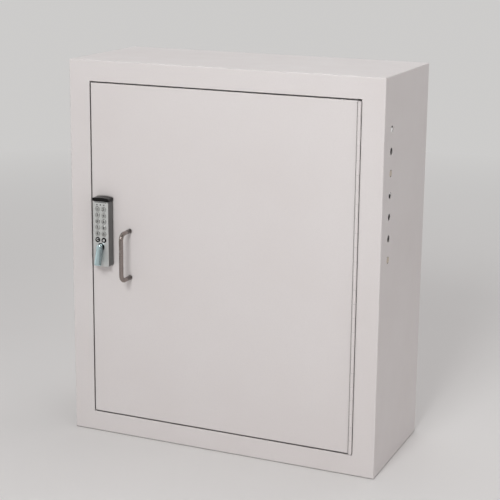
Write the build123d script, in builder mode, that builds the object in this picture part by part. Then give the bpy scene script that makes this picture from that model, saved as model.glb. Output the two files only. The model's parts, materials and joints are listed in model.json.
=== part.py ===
"""Lockable wall cabinet for medicines: a sheet-steel case with the face frame folded in one with its
walls, an inset door on a continuous hinge, a keypad cam lock, a bar handle and two adjustable shelves.

Millimetres. +Z is up, the front faces -Y and +X is the viewer's right. The origin is the centre of
the case's bottom face.
"""
from build123d import *
import os

os.makedirs("parts", exist_ok=True)

# ------------------------------------------------------------------ driving sizes: the case
CASE_WIDTH = 609.6
CASE_DEPTH = 254.0
CASE_HEIGHT = 717.6
CASE_SHEET = 1.2
CASE_BEND = 2.0             # outer radius of the case's folded edges
STILE_WIDTH = 42.0          # face frame, left and right
RAIL_WIDTH = 39.0           # face frame, top and bottom
OPENING_BEND = 1.5          # outer radius of the fold round the door opening
JAMB_DEPTH = 21.0           # front face to the stop strips behind the door
STOP_REACH = 10.0           # how far a stop strip stands into the opening
BACK_FIT = 0.2              # back panel to the walls, before welding
MOUNT_SPACING_X = 406.4     # screws into studs 16 inches apart
MOUNT_SPACING_Z = 558.8
MOUNT_HOLE = 8.7
CUT_PAST = 1.0              # how far a cutting shape passes the face it cuts

# ------------------------------------------------------------------ driving sizes: the shelves
PEG_HOLE = 12.7
PEG_HOLE_COUNT = 7
PEG_HOLE_PITCH = 38.5
PEG_HOLE_DROP = 92.2        # top of the case to the centre of the highest hole
PEG_HOLE_SETBACK = 41.3     # side holes behind the front face
REAR_PEG_INSET = 64.8       # side of the case to the rear holes
FREE_HOLE_COUNT = 2         # holes left free above the upper shelf
SHELF_STEP_COUNT = 4        # holes from one shelf to the next
SHELF_EDGE = 19.0
SHELF_RETURN = 9.5
SHELF_BEND = 2.0
SHELF_SETBACK = 34.0        # shelf's front edge behind the case's front face
SHELF_CLEARANCE = 1.5
PEG_PLUG_FIT = 0.2
PEG_PLUG_HEIGHT = 9.2
PEG_COLLAR = 18.0
PEG_COLLAR_THICKNESS = 1.0
PEG_LUG_WIDTH = 10.0
PEG_LUG_HEIGHT = 8.0
PEG_LUG_LENGTH = 13.0
PEG_LUG_EDGE = 1.0

# ------------------------------------------------------------------ driving sizes: door and hinge
DOOR_SHEET = 1.5
DOOR_GAP = 2.0              # shut line at the top, the bottom and the lock side
DOOR_FLANGE = 19.0
DOOR_BEND = 2.0
STIFFENER_WIDTH = 70.0
STIFFENER_CROWN = 34.0
STIFFENER_DEPTH = 16.0
STIFFENER_SHEET = 1.2
STIFFENER_END_GAP = 14.0
HINGE_SHEET = 1.5
HINGE_PIN = 3.2
HINGE_PIN_CLEARANCE = 0.05
HINGE_PROUD = 1.0           # hinge axis in front of the front face
HINGE_LEAF = 17.5           # axis to the leaf's rear edge
HINGE_NOTCH = 0.5           # leaf's notch clear of the other leaf's knuckle
HINGE_SEAM = 0.25           # slit where the rolled knuckle meets its leaf
HINGE_END_GAP = 0.3
KNUCKLE_LENGTH = 25.4
KNUCKLE_GAP = 0.3
RIVET_COUNT = 7
RIVET_SHANK = 3.2
RIVET_HEAD = 6.4
RIVET_HEAD_HEIGHT = 1.0
RIVET_HEAD_EDGE = 0.7
RIVET_TAIL = 4.8
RIVET_TAIL_HEIGHT = 1.4
BUMPER = 8.0
BUMPER_CLEARANCE = 0.3
BUMPER_SPACING_X = 300.0
BUMPER_SPACING_Z = 480.0

# ------------------------------------------------------------------ driving sizes: the handle
HANDLE_INSET = 78.8         # lock-side edge of the door to the handle
HANDLE_RISE = 1.6           # middle of the case to the middle of the handle
HANDLE_SPACING = 88.9
HANDLE_ROD = 8.0
HANDLE_STANDOFF = 34.0      # door face to the middle of the grip
HANDLE_BEND = 12.0

# ------------------------------------------------------------------ driving sizes: the keypad lock
LOCK_INSET = 27.6           # edge of the door to the middle of the lock
LOCK_DROP = 23.8            # middle of the case to the housing's lower end
LOCK_WIDTH = 32.5
LOCK_DEPTH = 18.0           # door face to the front of the cover
LOCK_GASKET = 0.8
GASKET_INSET = 0.5          # gasket's edge inside the housing's edge
LOCK_BASE = 6.0             # door face to the joint between base and cover
LOCK_PLATE = 3.0
LOCK_WALL = 2.0
LOCK_CORNER = 4.0
LOCK_EDGE = 1.2
CAP_OVERHANG = 0.8
CAP_WALL = 1.5
CAP_SIDE = 5.3              # straight side of the cap, below its arch
CAP_RISE = 7.0              # shoulder to the top of the arch
NECK_HEIGHT = 3.0
KEY_ROWS = 6
KEY_COLUMNS = 2
KEY_PITCH_X = 13.0
KEY_PITCH_Z = 11.7
KEY_ABOVE_KNOB = 13.4       # knob's axis to the lowest row of keys
KEY_DIAMETER = 9.4
KEY_CLEARANCE = 0.3
KEY_PROUD = 1.3
KEY_EDGE = 0.6
KEY_TRAVEL = 0.8
KEY_FLANGE = 11.2
KEY_FLANGE_THICKNESS = 0.8
KEY_FLANGE_GAP = 0.1
KEY_STEM = 4.0
KEY_STEM_CLEARANCE = 0.2    # stem to the board with the key pressed in
LENS_ABOVE_KEYS = 8.2
SHOULDER_ABOVE_LENS = 6.5   # to the top of the housing, where the cap sits
LENS_DIAMETER = 2.4
LENS_PITCH = 7.2
LENS_PROUD = 0.2
BOARD_WIDTH = 25.0
BOARD_THICKNESS = 1.2
BOARD_STAND = 11.0          # door face to the back of the board
BOARD_BELOW_KEYS = 4.3
BOARD_ABOVE_LENS = 3.0
CELL_DIAMETER = 20.0
CELL_THICKNESS = 3.2
CELL_COUNT = 2
CELL_GAP = 0.1
CELL_HEADROOM = 0.7         # cells to the inside of the cap
CRADLE_WALL = 1.3
CRADLE_FIT = 0.2
SCREW_SHANK = 4.0
SCREW_HEAD = 8.0
SCREW_HEAD_HEIGHT = 2.6
SCREW_HEAD_EDGE = 1.0
SCREW_HOLE = 4.5
SCREW_BITE = 9.0            # thread past the door's outer face
SCREW_END_SPACE = 1.0       # tapped hole deeper than the screw
WASHER = 12.0
WASHER_THICKNESS = 1.0
BOSS = 9.0
LOCK_SCREW_RISE = 11.0      # housing's lower end to the lower screw
LOCK_SCREW_DROP = 6.8       # top row of keys to the upper screw
STANDOFF = 5.0
STANDOFF_SPACING = 19.0
STANDOFF_RISE = 2.7         # lowest row of keys to the standoffs

# ------------------------------------------------------------------ driving sizes: knob and cam
KNOB_RISE = 37.9            # housing's lower end to the knob's axis
KNOB_HEAD = 6.3             # radius round the pivot
KNOB_TIP_RISE = 5.0
KNOB_TIP_WIDTH = 15.0
KNOB_TIP_CORNER = 3.0
KNOB_TIP_STAND = 34.0       # door face to the front of the tip
KNOB_TIP_THICKNESS = 5.5
KNOB_HEAD_HEIGHT = 9.0
KNOB_GAP = 0.4
KNOB_EDGE = 0.9
KNOB_FRONT_SWELL = 2.2      # bulge of the knob's front, in side view
KNOB_FINGER_HOLLOW = 3.0    # hollow behind the tip, in side view
KNOB_SOCKET = 5.0           # depth that the spindle is let into the knob
KNOB_WASHER = 14.8
KNOB_WASHER_CLEARANCE = 0.1
SPINDLE = 7.0
SPINDLE_CLEARANCE = 0.05
SPINDLE_HOLE = 9.0
SPINDLE_SQUARE = 5.0
COLLAR = 12.0
COLLAR_THICKNESS = 3.0
COLLAR_NOTCH = 3.2
BEARING = 11.5
BEARING_HEIGHT = 2.0
SOLENOID_WIDTH = 10.0
SOLENOID_HEIGHT = 14.0
SOLENOID_DEPTH = 6.0
SOLENOID_EDGE = 1.0
SOLENOID_PIN = 2.5
SOLENOID_PIN_LENGTH = 2.5
SOLENOID_PIN_GAP = 0.5
COLLAR_GAP = 0.5             # bearing to collar
CAM_THICKNESS = 3.0
CAM_CLEARANCE = 1.3
CAM_REACH = 30.0
CAM_WIDTH = 14.0
CAM_HUB = 9.0
CAM_SCREW_HEAD = 9.0

# ------------------------------------------------------------------ what follows from them
FRONT = -CASE_DEPTH / 2
BACK = CASE_DEPTH / 2
HALF_WIDTH = CASE_WIDTH / 2
HALF_HEIGHT = CASE_HEIGHT / 2
OPENING_X = HALF_WIDTH - STILE_WIDTH
OPENING_Z = HALF_HEIGHT - RAIL_WIDTH           # measured from the middle of the height
BACK_FACE = BACK - CASE_SHEET                  # back panel's face inside the case

KNUCKLE_RADIUS = HINGE_PIN / 2 + HINGE_PIN_CLEARANCE + HINGE_SHEET
AXIS_X = OPENING_X - KNUCKLE_RADIUS
AXIS_Y = FRONT - HINGE_PROUD
DOOR_LEFT = -OPENING_X + DOOR_GAP
DOOR_RIGHT = AXIS_X - KNUCKLE_RADIUS
DOOR_LOW = RAIL_WIDTH + DOOR_GAP
DOOR_HIGH = CASE_HEIGHT - RAIL_WIDTH - DOOR_GAP
DOOR_WIDTH = DOOR_RIGHT - DOOR_LEFT
DOOR_HEIGHT = DOOR_HIGH - DOOR_LOW
DOOR_X = (DOOR_LEFT + DOOR_RIGHT) / 2
DOOR_INNER = FRONT + DOOR_SHEET
STOP_BACK = FRONT + JAMB_DEPTH + CASE_SHEET

REAR_PEG_X = HALF_WIDTH - REAR_PEG_INSET
HANDLE_X = DOOR_LEFT + HANDLE_INSET
HANDLE_Z = HALF_HEIGHT + HANDLE_RISE
LOCK_X = DOOR_LEFT + LOCK_INSET
LOCK_LOW = HALF_HEIGHT - LOCK_DROP
KNOB_Z = LOCK_LOW + KNOB_RISE
KNOB_TIP_Z = LOCK_LOW + KNOB_TIP_RISE
KEY_LOW_Z = KNOB_Z + KEY_ABOVE_KNOB
KEY_TOP_Z = KEY_LOW_Z + (KEY_ROWS - 1) * KEY_PITCH_Z
LENS_Z = KEY_TOP_Z + LENS_ABOVE_KEYS
LOCK_SHOULDER = LENS_Z + SHOULDER_ABOVE_LENS
LOCK_HEIGHT = LOCK_SHOULDER - LOCK_LOW

hinge_length = DOOR_HEIGHT - 2 * HINGE_END_GAP
hinge_low = DOOR_LOW + HINGE_END_GAP
knuckle_count = 2 * round((hinge_length / KNUCKLE_LENGTH - 1) / 2) + 1
knuckle_pitch = hinge_length / knuckle_count
notch_depth = KNUCKLE_RADIUS + HINGE_NOTCH
rivet_y = AXIS_Y + (notch_depth + HINGE_LEAF) / 2
rivet_heights = [hinge_low + hinge_length * (i + 0.5) / RIVET_COUNT for i in range(RIVET_COUNT)]


def facing(y):
    """Plane that looks out of the front of the case, at depth y."""
    return Plane.XZ.offset(-y)


def standing(distance):
    """Plane that looks out of the front, at a distance in front of the door's face."""
    return facing(FRONT - distance)


def save(piece, name):
    piece.part.label = name
    export_step(piece.part, f"parts/{name}.step")


# ------------------------------------------------------------------ case: one folded shell
# The hollow keeps the sheet's thickness round every fold, and is open at the rear.
with BuildPart() as case_hollow:
    with BuildSketch(facing(BACK + CUT_PAST)):
        with Locations((0, HALF_HEIGHT)):
            Rectangle(CASE_WIDTH - 2 * CASE_SHEET, CASE_HEIGHT - 2 * CASE_SHEET)
    extrude(amount=CASE_DEPTH - CASE_SHEET + CUT_PAST)
    hollow_front = case_hollow.faces().sort_by(Axis.Y)[0].edges()
    fillet(hollow_front + case_hollow.edges().filter_by(Axis.Y), CASE_BEND - CASE_SHEET)

with BuildPart() as case_shell:
    with BuildSketch(facing(BACK)):
        with Locations((0, HALF_HEIGHT)):
            Rectangle(CASE_WIDTH, CASE_HEIGHT)
    extrude(amount=CASE_DEPTH)
    shell_front = case_shell.faces().sort_by(Axis.Y)[0].edges()
    fillet(shell_front + case_shell.edges().filter_by(Axis.Y), CASE_BEND)
    add(case_hollow.part, mode=Mode.SUBTRACT)

    # jamb folded back all round the opening
    with BuildSketch(facing(FRONT + JAMB_DEPTH)):
        with Locations((0, HALF_HEIGHT)):
            Rectangle(2 * (OPENING_X + CASE_SHEET), 2 * (OPENING_Z + CASE_SHEET))
    extrude(amount=JAMB_DEPTH - CASE_SHEET)
    with BuildSketch(facing(FRONT + JAMB_DEPTH)):
        with Locations((0, HALF_HEIGHT)):
            Rectangle(2 * OPENING_X, 2 * OPENING_Z)
    extrude(amount=JAMB_DEPTH, mode=Mode.SUBTRACT)
    fillet(case_shell.faces().sort_by(Axis.Y)[0].inner_wires()[0].edges(), OPENING_BEND)


def mitre(side, level):
    """Points of the mitre at one corner (side and level are -1 or 1), from outside the case inwards.

    It halves the fold of the walls and the fold of the jamb, and splits the face frame between them.
    """
    points = [
        (HALF_WIDTH + CUT_PAST, HALF_HEIGHT + CUT_PAST),
        (HALF_WIDTH - CASE_SHEET, HALF_HEIGHT - CASE_SHEET),
        (OPENING_X + CASE_SHEET, OPENING_Z + CASE_SHEET),
        (OPENING_X - CUT_PAST, OPENING_Z - CUT_PAST),
    ]
    return [(side * x, HALF_HEIGHT + level * z) for x, z in points]


def case_panel(first, second):
    """The part of the shell between two mitres."""
    with BuildPart() as panel:
        with BuildSketch(facing(BACK + CUT_PAST)):
            with BuildLine():
                Polyline(*reversed(mitre(*first)), *mitre(*second), close=True)
            make_face()
        extrude(amount=CASE_DEPTH + 2 * CUT_PAST)
        add(case_shell.part, mode=Mode.INTERSECT)
    return panel


peg_hole_heights = [
    CASE_HEIGHT - PEG_HOLE_DROP - index * PEG_HOLE_PITCH for index in range(PEG_HOLE_COUNT)
]
side_peg_y = FRONT + PEG_HOLE_SETBACK


def side_wall(side):
    """Left or right panel, with its column of peg holes."""
    panel = case_panel((side, 1), (side, -1))
    with BuildPart() as wall:
        add(panel.part)
        with BuildSketch(Plane.YZ.offset(side * HALF_WIDTH)):
            with Locations(*[(side_peg_y, z) for z in peg_hole_heights]):
                Circle(PEG_HOLE / 2)
        extrude(amount=CASE_SHEET + CUT_PAST, both=True, mode=Mode.SUBTRACT)
        if side > 0:
            # the jamb on this side is drilled for the hinge's rivets
            with BuildSketch(Plane.YZ.offset(OPENING_X)):
                with Locations(*[(rivet_y, z) for z in rivet_heights]):
                    Circle(RIVET_SHANK / 2)
            extrude(amount=CASE_SHEET, mode=Mode.SUBTRACT)
    return wall


left_side_panel = side_wall(-1)
save(left_side_panel, "left_side_panel")
right_side_panel = side_wall(1)
save(right_side_panel, "right_side_panel")
top_panel = case_panel((-1, 1), (1, 1))
save(top_panel, "top_panel")
bottom_panel = case_panel((-1, -1), (1, -1))
save(bottom_panel, "bottom_panel")

# ------------------------------------------------------------------ stop strips
# Flat strips welded to the jamb's rear edge on three sides: the hinge side has none.


def stop_strip(x_range, z_range):
    """Strip that covers an x range and a z range, just behind the jamb."""
    low_x, high_x = x_range
    low_z, high_z = z_range
    with BuildPart() as strip:
        with BuildSketch(facing(STOP_BACK)):
            with Locations(((low_x + high_x) / 2, (low_z + high_z) / 2)):
                Rectangle(high_x - low_x, high_z - low_z)
        extrude(amount=CASE_SHEET)
    return strip


stop_outer = OPENING_Z + CASE_SHEET
stop_inner = OPENING_Z - STOP_REACH
stop_left = -OPENING_X + STOP_REACH

left_stop_strip = stop_strip((-OPENING_X - CASE_SHEET, stop_left),
                             (HALF_HEIGHT - stop_outer, HALF_HEIGHT + stop_outer))
save(left_stop_strip, "left_stop_strip")
top_stop_strip = stop_strip((stop_left, OPENING_X), (HALF_HEIGHT + stop_inner, HALF_HEIGHT + stop_outer))
save(top_stop_strip, "top_stop_strip")
bottom_stop_strip = stop_strip((stop_left, OPENING_X), (HALF_HEIGHT - stop_outer, HALF_HEIGHT - stop_inner))
save(bottom_stop_strip, "bottom_stop_strip")

# ------------------------------------------------------------------ back panel
back_width = CASE_WIDTH - 2 * (CASE_SHEET + BACK_FIT)
back_height = CASE_HEIGHT - 2 * (CASE_SHEET + BACK_FIT)

with BuildPart() as back_panel:
    with BuildSketch(facing(BACK)):
        with Locations((0, HALF_HEIGHT)):
            RectangleRounded(back_width, back_height, CASE_BEND - CASE_SHEET)
            with GridLocations(MOUNT_SPACING_X, MOUNT_SPACING_Z, 2, 2):
                Circle(MOUNT_HOLE / 2, mode=Mode.SUBTRACT)
        with Locations(*[(side * REAR_PEG_X, z) for side in (-1, 1) for z in peg_hole_heights]):
            Circle(PEG_HOLE / 2, mode=Mode.SUBTRACT)
    extrude(amount=CASE_SHEET)
save(back_panel, "back_panel")

# ------------------------------------------------------------------ shelf pegs
# Drawn in the peg's own frame: +Z into the cabinet, +Y up, the wall's inner face at Z = 0.
with BuildPart() as shelf_peg:
    with BuildSketch(Plane.XY):
        Circle((PEG_HOLE - PEG_PLUG_FIT) / 2)
        Rectangle(PEG_HOLE, PEG_PLUG_HEIGHT, mode=Mode.INTERSECT)
    extrude(amount=-CASE_SHEET)
    with BuildSketch(Plane.XY):
        Circle(PEG_COLLAR / 2)
    extrude(amount=PEG_COLLAR_THICKNESS)
    with BuildSketch(Plane.XY.offset(PEG_COLLAR_THICKNESS)):
        Rectangle(PEG_LUG_WIDTH, PEG_LUG_HEIGHT)
    extrude(amount=PEG_LUG_LENGTH)
    fillet(shelf_peg.faces().sort_by(Axis.Z)[-1].edges(), PEG_LUG_EDGE)

shelf_peg_heights = peg_hole_heights[FREE_HOLE_COUNT::SHELF_STEP_COUNT]
wall_inside = HALF_WIDTH - CASE_SHEET

with BuildPart() as side_shelf_pegs:
    for side in (-1, 1):
        for z in shelf_peg_heights:
            seat = Plane(origin=(side * wall_inside, side_peg_y, z), x_dir=(0, -side, 0),
                         z_dir=(-side, 0, 0))
            with Locations(Location(seat)):
                add(shelf_peg.part)
save(side_shelf_pegs, "side_shelf_pegs")

with BuildPart() as rear_shelf_pegs:
    for side in (-1, 1):
        for z in shelf_peg_heights:
            seat = Plane(origin=(side * REAR_PEG_X, BACK_FACE, z), x_dir=(1, 0, 0), z_dir=(0, -1, 0))
            with Locations(Location(seat)):
                add(shelf_peg.part)
save(rear_shelf_pegs, "rear_shelf_pegs")

# ------------------------------------------------------------------ shelves
shelf_width = 2 * (wall_inside - SHELF_CLEARANCE)
shelf_front = FRONT + SHELF_SETBACK
shelf_back = BACK_FACE - SHELF_CLEARANCE
shelf_depth = shelf_back - shelf_front
shelf_y = (shelf_front + shelf_back) / 2


def shelf(peg_height):
    """Tray turned upside down: its edges are folded down and in, and rest on the pegs' lugs."""
    underside = peg_height + PEG_LUG_HEIGHT / 2
    with BuildPart() as tray:
        with BuildSketch(Plane.XY.offset(underside)):
            with Locations((0, shelf_y)):
                Rectangle(shelf_width, shelf_depth)
        extrude(amount=SHELF_EDGE)
        fillet(tray.edges().filter_by(Axis.Z) + tray.faces().sort_by(Axis.Z)[-1].edges(), SHELF_BEND)
        with BuildSketch(Plane.XY.offset(underside + CASE_SHEET)):
            with Locations((0, shelf_y)):
                Rectangle(shelf_width - 2 * CASE_SHEET, shelf_depth - 2 * CASE_SHEET)
        extrude(amount=SHELF_EDGE - 2 * CASE_SHEET, mode=Mode.SUBTRACT)
        with BuildSketch(Plane.XY.offset(underside)):
            with Locations((0, shelf_y)):
                Rectangle(shelf_width - 2 * SHELF_RETURN, shelf_depth - 2 * SHELF_RETURN)
        extrude(amount=CASE_SHEET, mode=Mode.SUBTRACT)
    return tray


for shelf_name, peg_height in zip(("upper_shelf", "lower_shelf"), shelf_peg_heights):
    save(shelf(peg_height), shelf_name)

# ------------------------------------------------------------------ continuous hinge


def hinge_leaf(side, first_knuckle):
    """One leaf with its rolled knuckles: side is 1 for the leaf on the jamb, -1 for the door's."""
    leaf_x = side * (KNUCKLE_RADIUS - HINGE_SHEET / 2)
    with BuildPart() as leaf:
        # the flat strip behind the knuckles
        with BuildSketch(Plane.XY.offset(hinge_low)):
            with Locations((AXIS_X + leaf_x, AXIS_Y + (notch_depth + HINGE_LEAF) / 2)):
                Rectangle(HINGE_SHEET, HINGE_LEAF - notch_depth)
        extrude(amount=hinge_length)
        # every other knuckle, rolled round the pin from a tab of the same strip
        for index in range(first_knuckle, knuckle_count, 2):
            low = hinge_low + index * knuckle_pitch + KNUCKLE_GAP / 2
            with BuildSketch(Plane.XY.offset(low)):
                with Locations((AXIS_X, AXIS_Y)):
                    Circle(KNUCKLE_RADIUS)
                with Locations((AXIS_X + leaf_x, AXIS_Y + notch_depth / 2)):
                    Rectangle(HINGE_SHEET, notch_depth)
                with Locations((AXIS_X, AXIS_Y)):
                    Circle(KNUCKLE_RADIUS - HINGE_SHEET, mode=Mode.SUBTRACT)
                seam_x = AXIS_X + side * (KNUCKLE_RADIUS - HINGE_SHEET - HINGE_SEAM / 2)
                with Locations((seam_x, AXIS_Y + KNUCKLE_RADIUS)):
                    Rectangle(HINGE_SEAM, KNUCKLE_RADIUS, mode=Mode.SUBTRACT)
            extrude(amount=knuckle_pitch - KNUCKLE_GAP)
        with BuildSketch(Plane.YZ.offset(AXIS_X + leaf_x)):
            with Locations(*[(rivet_y, z) for z in rivet_heights]):
                Circle(RIVET_SHANK / 2)
        extrude(amount=HINGE_SHEET, both=True, mode=Mode.SUBTRACT)
    return leaf


hinge_frame_leaf = hinge_leaf(1, 0)
save(hinge_frame_leaf, "hinge_frame_leaf")
hinge_door_leaf = hinge_leaf(-1, 1)
save(hinge_door_leaf, "hinge_door_leaf")

with BuildPart() as hinge_pin:
    with BuildSketch(Plane.XY.offset(hinge_low)):
        with Locations((AXIS_X, AXIS_Y)):
            Circle(HINGE_PIN / 2)
    extrude(amount=hinge_length)
save(hinge_pin, "hinge_pin")


def rivets(x, outward, grip):
    """Row of pop rivets down a leaf: heads on the leaf at x, tails behind the sheet it is fixed to."""
    with BuildPart() as rivet:
        with BuildSketch(Plane.XY):
            Circle(RIVET_HEAD / 2)
        extrude(amount=RIVET_HEAD_HEIGHT)
        fillet(rivet.faces().sort_by(Axis.Z)[-1].edges(), RIVET_HEAD_EDGE)
        with BuildSketch(Plane.XY):
            Circle(RIVET_SHANK / 2)
        extrude(amount=-grip)
        with BuildSketch(Plane.XY.offset(-grip)):
            Circle(RIVET_TAIL / 2)
        extrude(amount=-RIVET_TAIL_HEIGHT)
    with BuildPart() as row:
        for z in rivet_heights:
            with Locations(Location(Plane(origin=(x, rivet_y, z), x_dir=(0, 1, 0), z_dir=(outward, 0, 0)))):
                add(rivet.part)
    return row


frame_rivets = rivets(OPENING_X - HINGE_SHEET, -1, HINGE_SHEET + CASE_SHEET)
save(frame_rivets, "hinge_frame_rivets")
door_rivets = rivets(DOOR_RIGHT + HINGE_SHEET, 1, HINGE_SHEET + DOOR_SHEET)
save(door_rivets, "hinge_door_rivets")

# ------------------------------------------------------------------ door bumpers
bumper_thickness = JAMB_DEPTH - DOOR_FLANGE - BUMPER_CLEARANCE
strip_middle = STOP_REACH / 2

with BuildPart() as door_bumpers:
    with BuildSketch(facing(FRONT + JAMB_DEPTH)):
        with Locations((0, HALF_HEIGHT)):
            with GridLocations(BUMPER_SPACING_X, 2 * (OPENING_Z - strip_middle), 2, 2):
                Circle(BUMPER / 2)
        with Locations((-OPENING_X + strip_middle, HALF_HEIGHT)):
            with GridLocations(1, BUMPER_SPACING_Z, 1, 2):
                Circle(BUMPER / 2)
    extrude(amount=bumper_thickness)
save(door_bumpers, "door_bumpers")

# ------------------------------------------------------------------ door pan
handle_feet = [HANDLE_Z - HANDLE_SPACING / 2, HANDLE_Z + HANDLE_SPACING / 2]
lock_screw_points = [(LOCK_X, LOCK_LOW + LOCK_SCREW_RISE), (LOCK_X, KEY_TOP_Z - LOCK_SCREW_DROP)]
handle_screw_points = [(HANDLE_X, z) for z in handle_feet]

with BuildPart() as door_panel:
    with BuildSketch(facing(FRONT + DOOR_FLANGE)):
        with Locations((DOOR_X, HALF_HEIGHT)):
            Rectangle(DOOR_WIDTH, DOOR_HEIGHT)
    extrude(amount=DOOR_FLANGE)
    front_edges = door_panel.faces().sort_by(Axis.Y)[0].edges()
    fillet(front_edges + door_panel.edges().filter_by(Axis.Y), DOOR_BEND)
    with BuildSketch(facing(FRONT + DOOR_FLANGE)):
        with Locations((DOOR_X, HALF_HEIGHT)):
            RectangleRounded(DOOR_WIDTH - 2 * DOOR_SHEET, DOOR_HEIGHT - 2 * DOOR_SHEET,
                             DOOR_BEND - DOOR_SHEET)
    extrude(amount=DOOR_FLANGE - DOOR_SHEET, mode=Mode.SUBTRACT)
    with BuildSketch(facing(DOOR_INNER)):
        with Locations(*lock_screw_points, *handle_screw_points):
            Circle(SCREW_HOLE / 2)
        with Locations((LOCK_X, KNOB_Z)):
            Circle(SPINDLE_HOLE / 2)
    extrude(amount=DOOR_SHEET, mode=Mode.SUBTRACT)
    with BuildSketch(Plane.YZ.offset(DOOR_RIGHT)):
        with Locations(*[(rivet_y, z) for z in rivet_heights]):
            Circle(RIVET_SHANK / 2)
    extrude(amount=-DOOR_SHEET, mode=Mode.SUBTRACT)
save(door_panel, "door_panel")

# ------------------------------------------------------------------ door stiffener, a hat channel
stiffener_height = DOOR_HEIGHT - 2 * (DOOR_SHEET + STIFFENER_END_GAP)
stiffener_back = DOOR_INNER + STIFFENER_DEPTH
half_crown = STIFFENER_CROWN / 2

half_hat = [
    (half_crown, stiffener_back),
    (half_crown, DOOR_INNER + STIFFENER_SHEET),
    (STIFFENER_WIDTH / 2, DOOR_INNER + STIFFENER_SHEET),
    (STIFFENER_WIDTH / 2, DOOR_INNER),
    (half_crown - STIFFENER_SHEET, DOOR_INNER),
    (half_crown - STIFFENER_SHEET, stiffener_back - STIFFENER_SHEET),
]
right_half = [(DOOR_X + x, y) for x, y in half_hat]
left_half = [(DOOR_X - x, y) for x, y in reversed(half_hat)]

with BuildPart() as door_stiffener:
    with BuildSketch(Plane.XY.offset(HALF_HEIGHT - stiffener_height / 2)):
        with BuildLine():
            Polyline(*right_half, *left_half, close=True)
        make_face()
    extrude(amount=stiffener_height)
    crown_edges = door_stiffener.faces().sort_by(Axis.Y)[-1].edges().filter_by(Axis.Z)
    fillet(crown_edges, STIFFENER_SHEET)
save(door_stiffener, "door_stiffener")

# ------------------------------------------------------------------ bar handle
grip_y = FRONT - HANDLE_STANDOFF

with BuildPart() as handle:
    with BuildLine(Plane.YZ.offset(HANDLE_X)) as handle_route:
        FilletPolyline(
            (FRONT, handle_feet[0]),
            (grip_y, handle_feet[0]),
            (grip_y, handle_feet[1]),
            (FRONT, handle_feet[1]),
            radius=HANDLE_BEND,
        )
    with BuildSketch(facing(FRONT)):
        with Locations((HANDLE_X, handle_feet[0])):
            Circle(HANDLE_ROD / 2)
    sweep()
    with BuildSketch(facing(FRONT)):
        with Locations(*handle_screw_points):
            Circle(SCREW_SHANK / 2)
    extrude(amount=SCREW_BITE + SCREW_END_SPACE, mode=Mode.SUBTRACT)
save(handle, "handle")


# ------------------------------------------------------------------ screws and washers, from inside
def screws(points):
    """Pan-head screws through the door's skin, each with its washer, at points (x, z)."""
    head_seat = DOOR_INNER + WASHER_THICKNESS
    with BuildPart() as screw_group:
        with BuildSketch(facing(head_seat)):
            with Locations(*points):
                Circle(SCREW_SHANK / 2)
        extrude(amount=head_seat - FRONT + SCREW_BITE)
        with BuildSketch(facing(head_seat + SCREW_HEAD_HEIGHT)):
            with Locations(*points):
                Circle(SCREW_HEAD / 2)
        extrude(amount=SCREW_HEAD_HEIGHT)
        rims = screw_group.faces().filter_by(Axis.Y).group_by(Axis.Y)[-1].edges()
        fillet(rims, SCREW_HEAD_EDGE)
    with BuildPart() as washer_group:
        with BuildSketch(facing(head_seat)):
            with Locations(*points):
                Circle(WASHER / 2)
                Circle(SCREW_SHANK / 2, mode=Mode.SUBTRACT)
        extrude(amount=WASHER_THICKNESS)
    return screw_group, washer_group


handle_screws, handle_washers = screws(handle_screw_points)
save(handle_screws, "handle_screws")
save(handle_washers, "handle_washers")
lock_screws, lock_washers = screws(lock_screw_points)
save(lock_screws, "lock_screws")
save(lock_washers, "lock_washers")

# ------------------------------------------------------------------ keypad lock: housing
housing_z = LOCK_LOW + LOCK_HEIGHT / 2
plate_front = LOCK_GASKET + LOCK_PLATE
cover_inside = LOCK_DEPTH - LOCK_WALL
neck_width = LOCK_WIDTH - 2 * LOCK_WALL
key_points = [
    (LOCK_X + (column - (KEY_COLUMNS - 1) / 2) * KEY_PITCH_X, KEY_TOP_Z - row * KEY_PITCH_Z)
    for row in range(KEY_ROWS)
    for column in range(KEY_COLUMNS)
]
lens_points = [(LOCK_X + offset * LENS_PITCH, LENS_Z) for offset in (-1, 0, 1)]


def housing_block(inner, outer, edge_radius=0.0):
    """Block of the housing between two distances from the door, with its lower corners rounded."""
    with BuildPart() as block:
        with BuildSketch(standing(inner)) as outline:
            with Locations((LOCK_X, housing_z)):
                Rectangle(LOCK_WIDTH, LOCK_HEIGHT)
            fillet(outline.vertices().group_by(Axis.Z)[0], LOCK_CORNER)
        extrude(amount=outer - inner)
        if edge_radius:
            rim = block.faces().sort_by(Axis.Y)[0].edges()
            fillet(rim - rim.sort_by(Axis.Z)[-1:], edge_radius)
    return block


def housing_bore(inner, outer, wall):
    """Space inside the housing's walls, open at the shoulder."""
    with BuildPart() as bore:
        with BuildSketch(standing(inner)) as outline:
            with Locations((LOCK_X, housing_z + wall)):
                Rectangle(LOCK_WIDTH - 2 * wall, LOCK_HEIGHT)
            fillet(outline.vertices().group_by(Axis.Z)[0], LOCK_CORNER - wall)
        extrude(amount=outer - inner)
    return bore


with BuildPart() as lock_gasket:
    with BuildSketch(standing(0)) as gasket_outline:
        with Locations((LOCK_X, housing_z)):
            Rectangle(LOCK_WIDTH - 2 * GASKET_INSET, LOCK_HEIGHT - 2 * GASKET_INSET)
        fillet(gasket_outline.vertices().group_by(Axis.Z)[0], LOCK_CORNER)
        with Locations((LOCK_X, KNOB_Z)):
            Circle(SPINDLE_HOLE / 2, mode=Mode.SUBTRACT)
        with Locations(*lock_screw_points):
            Circle(SCREW_HOLE / 2, mode=Mode.SUBTRACT)
    extrude(amount=LOCK_GASKET)
save(lock_gasket, "lock_gasket")

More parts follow.
